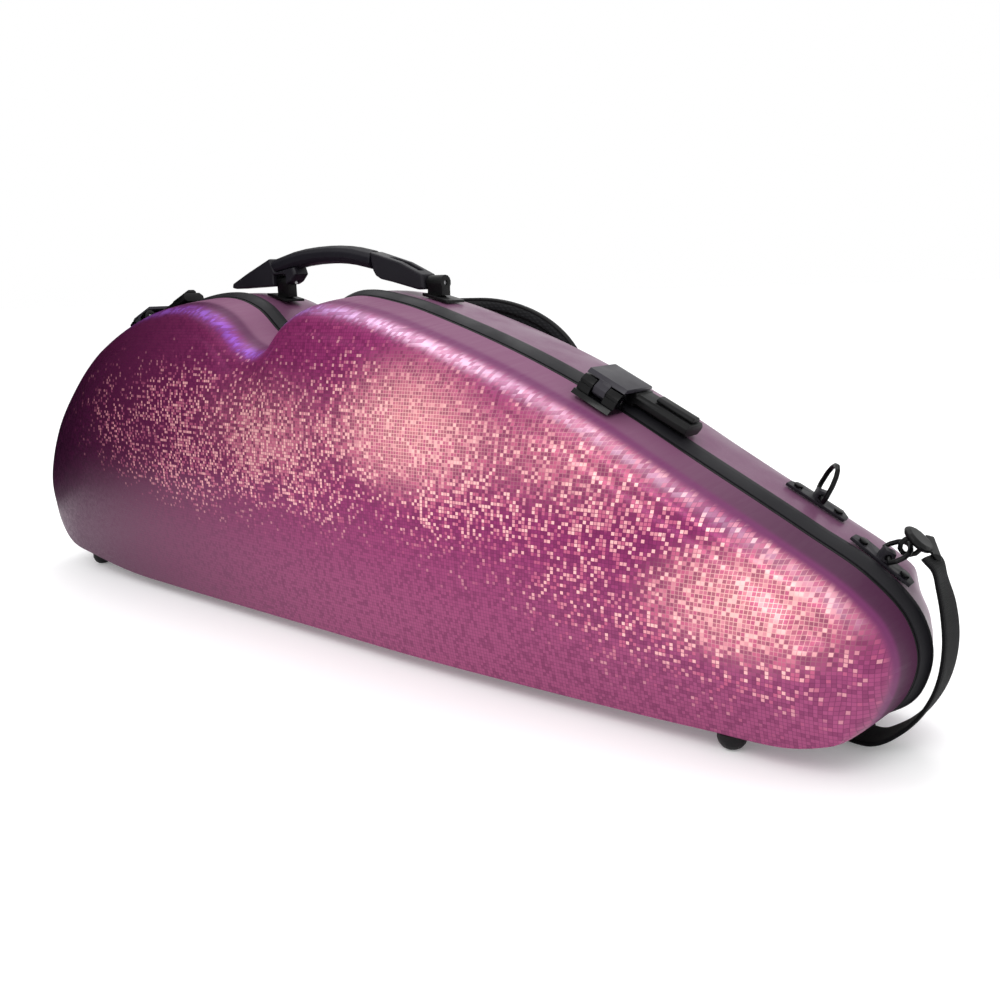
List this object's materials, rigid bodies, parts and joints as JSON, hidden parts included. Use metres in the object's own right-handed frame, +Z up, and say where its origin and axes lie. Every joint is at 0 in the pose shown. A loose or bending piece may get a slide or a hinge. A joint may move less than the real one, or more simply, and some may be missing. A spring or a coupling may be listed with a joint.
{
  "type": "violin case",
  "caption": "Slim contoured hard violin case with a mosaic lid, hinged on its spine, with latches, folding handle, strap rings and a padded strap",
  "frame": {"origin": "centre of the footprint, on the plane of the feet", "axes": "+X along the case to the narrow nose, +Y from the lid to the base, +Z up; the case stands on its spine"},
  "size_m": [0.7836, 0.1634, 0.2706],
  "materials": {
    "mosaic": "small square metallic mosaic under clear gloss",
    "shell": "satin mauve metallic",
    "plastic": "fine satin black",
    "band": "soft slate grey",
    "rubber": "matt black",
    "steel": "plain",
    "black_steel": "blackened",
    "plush": "short plush",
    "webbing": "woven black"
  },
  "bodies": {
    "base": {"base_shell": "shell", "base_rim_band": "band", "base_lining": "plush", "neck_cradle": "plush", "neck_strap": "webbing", "hinge_base_leaf_bout": "black_steel", "hinge_pin_bout": "steel", "hinge_base_leaf_nose": "black_steel", "hinge_pin_nose": "steel", "foot_base_bout": "rubber", "foot_base_nose": "rubber", "latch_catch_bout": "plastic", "latch_catch_nose": "plastic", "handle_mount_bout": "plastic", "handle_mount_nose": "plastic", "ring_plate_upper": "plastic", "ring_screw_upper_1": "black_steel", "ring_screw_upper_2": "black_steel", "ring_plate_nose": "plastic", "ring_screw_nose_1": "black_steel", "ring_screw_nose_2": "black_steel", "strap_hook_nose": "plastic", "ring_plate_bout": "plastic", "ring_screw_bout_1": "black_steel", "ring_screw_bout_2": "black_steel", "strap_hook_bout": "plastic", "strap_webbing_nose": "webbing", "strap_webbing_bout": "webbing", "strap_pad": "webbing"},
    "lid": {"lid_shell": "mosaic", "lid_rim_seal": "rubber", "lid_lining": "plush", "bow_spinner_post_1": "plastic", "bow_spinner_post_2": "plastic", "bow_tip_pocket": "plush", "foot_lid_bout": "rubber", "foot_lid_nose": "rubber", "hinge_lid_leaf_bout": "black_steel", "hinge_lid_leaf_nose": "black_steel", "latch_bracket_bout": "plastic", "latch_bracket_nose": "plastic", "latch_pin_bout": "steel", "latch_pin_nose": "steel"},
    "latch_flap_bout": {"latch_flap_bout": "plastic"},
    "latch_flap_nose": {"latch_flap_nose": "plastic"},
    "latch_slide_bout": {"latch_slide_bout": "plastic"},
    "latch_slide_nose": {"latch_slide_nose": "plastic"},
    "handle": {"handle_grip": "rubber", "handle_cap_bout": "plastic", "handle_cap_nose": "plastic", "handle_pin_bout": "steel", "handle_pin_nose": "steel"},
    "d_ring_upper": {"d_ring_upper": "black_steel"},
    "d_ring_nose": {"d_ring_nose": "black_steel"},
    "d_ring_bout": {"d_ring_bout": "black_steel"},
    "bow_spinner_1": {"bow_spinner_1": "plastic"},
    "bow_spinner_2": {"bow_spinner_2": "plastic"}
  },
  "joints": [
    {"name": "lid_hinge", "type": "hinge", "parent": "base", "child": "lid", "pos_m": [-0.00203, -0.01968, 0.004], "axis": [1, 0, 0], "range_deg": [0, 95]},
    {"name": "latch_flap_bout", "type": "hinge", "parent": "lid", "child": "latch_flap_bout", "pos_m": [-0.25688, -0.02867, 0.21801], "axis": [0.9353, 0, 0.3538], "range_deg": [0, 78]},
    {"name": "latch_flap_nose", "type": "hinge", "parent": "lid", "child": "latch_flap_nose", "pos_m": [0.20735, -0.02867, 0.17868], "axis": [0.8974, 0, -0.4413], "range_deg": [0, 78]},
    {"name": "latch_slide_bout", "type": "slide", "parent": "base", "child": "latch_slide_bout", "axis": [0.9353, 0, 0.3538], "range_m": [-0.005, 0]},
    {"name": "latch_slide_nose", "type": "slide", "parent": "base", "child": "latch_slide_nose", "axis": [0.8974, 0, -0.4413], "range_m": [-0.005, 0]},
    {"name": "handle_swing", "type": "hinge", "parent": "base", "child": "handle", "pos_m": [-0.11203, 0.01033, 0.246], "axis": [0.9996, 0, -0.0287], "range_deg": [-52, 0]},
    {"name": "d_ring_upper", "type": "hinge", "parent": "base", "child": "d_ring_upper", "pos_m": [0.31653, 0.01432, 0.12414], "axis": [-0.4912, 0.8336, 0.2526], "range_deg": [-75, 75]},
    {"name": "d_ring_nose", "type": "hinge", "parent": "base", "child": "d_ring_nose", "pos_m": [0.35834, -0.00367, 0.10186], "axis": [-0.4575, 0.8336, 0.3096], "range_deg": [-8, 8]},
    {"name": "d_ring_bout", "type": "hinge", "parent": "base", "child": "d_ring_bout", "pos_m": [-0.34549, -0.00367, 0.16021], "axis": [0.3946, 0.8336, 0.3865], "range_deg": [-8, 8]},
    {"name": "bow_spinner_1", "type": "hinge", "parent": "lid", "child": "bow_spinner_1", "pos_m": [-0.30203, -0.04167, 0.114], "axis": [0, 1, 0], "range_deg": [-90, 90]},
    {"name": "bow_spinner_2", "type": "hinge", "parent": "lid", "child": "bow_spinner_2", "pos_m": [-0.30203, -0.04167, 0.073], "axis": [0, 1, 0], "range_deg": [-90, 90]}
  ]
}
